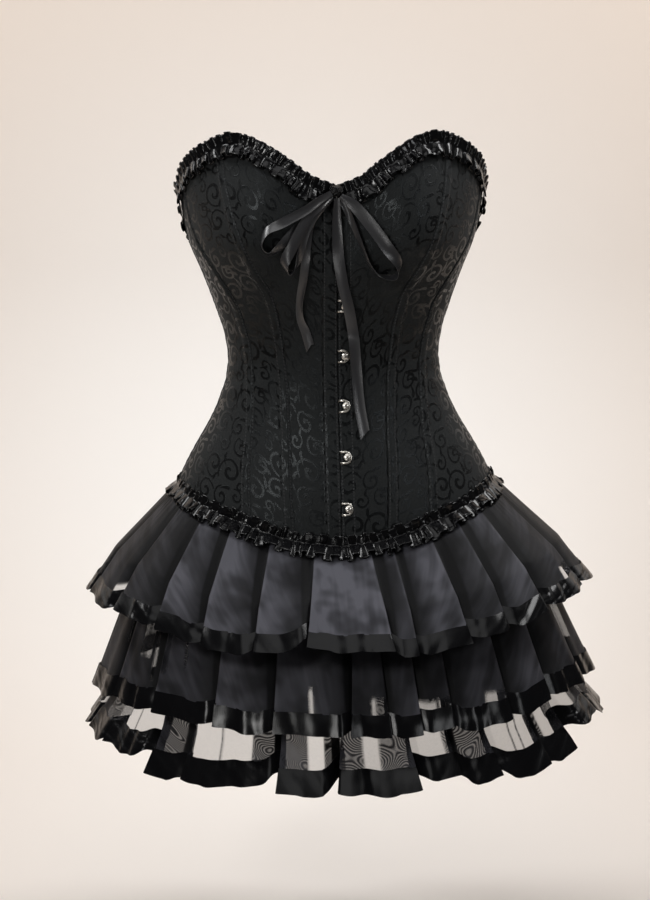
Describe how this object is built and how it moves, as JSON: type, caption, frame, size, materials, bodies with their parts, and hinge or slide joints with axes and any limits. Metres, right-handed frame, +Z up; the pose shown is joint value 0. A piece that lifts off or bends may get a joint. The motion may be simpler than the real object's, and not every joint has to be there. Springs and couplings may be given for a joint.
{
  "type": "strapless corset dress",
  "caption": "Strapless boned corset dress with a sweetheart neckline, frilled edges, front busk, ribbon bow and a tiered organza skirt.",
  "frame": {"origin": "middle of the waist, inside the bodice at its narrowest section", "axes": "+Z up the body, the front faces -Y, +X to the right as seen from the front"},
  "size_m": [0.5456, 0.446, 0.633],
  "materials": {
    "brocade": "black scroll brocade, matte ground with satin scrolls",
    "satin": "black satin ribbon, soft gloss",
    "organza": "black organza, sheer, faint blue-grey sheen",
    "metal": "polished nickel"
  },
  "bodies": {
    "root": {"front_centre_left": "brocade", "front_centre_right": "brocade", "cup_panel_left": "brocade", "cup_panel_right": "brocade", "side_front_left": "brocade", "side_front_right": "brocade", "side_back_left": "brocade", "side_back_right": "brocade", "back_panel_left": "brocade", "back_panel_right": "brocade", "centre_back_left": "brocade", "centre_back_right": "brocade", "top_frill_left": "satin", "top_frill_right": "satin", "hem_frill_left": "satin", "hem_frill_right": "satin", "tier_1_front": "organza", "tier_1_band_front": "satin", "tier_1_back": "organza", "tier_1_band_back": "satin", "tier_2_front": "organza", "tier_2_band_front": "satin", "tier_2_back": "organza", "tier_2_band_back": "satin", "tier_3_front": "organza", "tier_3_band_front": "satin", "tier_3_back": "organza", "tier_3_band_back": "satin", "busk_loop_1": "metal", "busk_stud_1": "metal", "busk_loop_2": "metal", "busk_stud_2": "metal", "busk_loop_3": "metal", "busk_stud_3": "metal", "busk_loop_4": "metal", "busk_stud_4": "metal", "busk_loop_5": "metal", "busk_stud_5": "metal", "bow_knot": "satin", "bow_loop_left_outer": "satin", "bow_loop_left_lower": "satin", "bow_loop_right": "satin", "bow_tail_left": "satin", "bow_tail_right": "satin"}
  },
  "joints": []
}
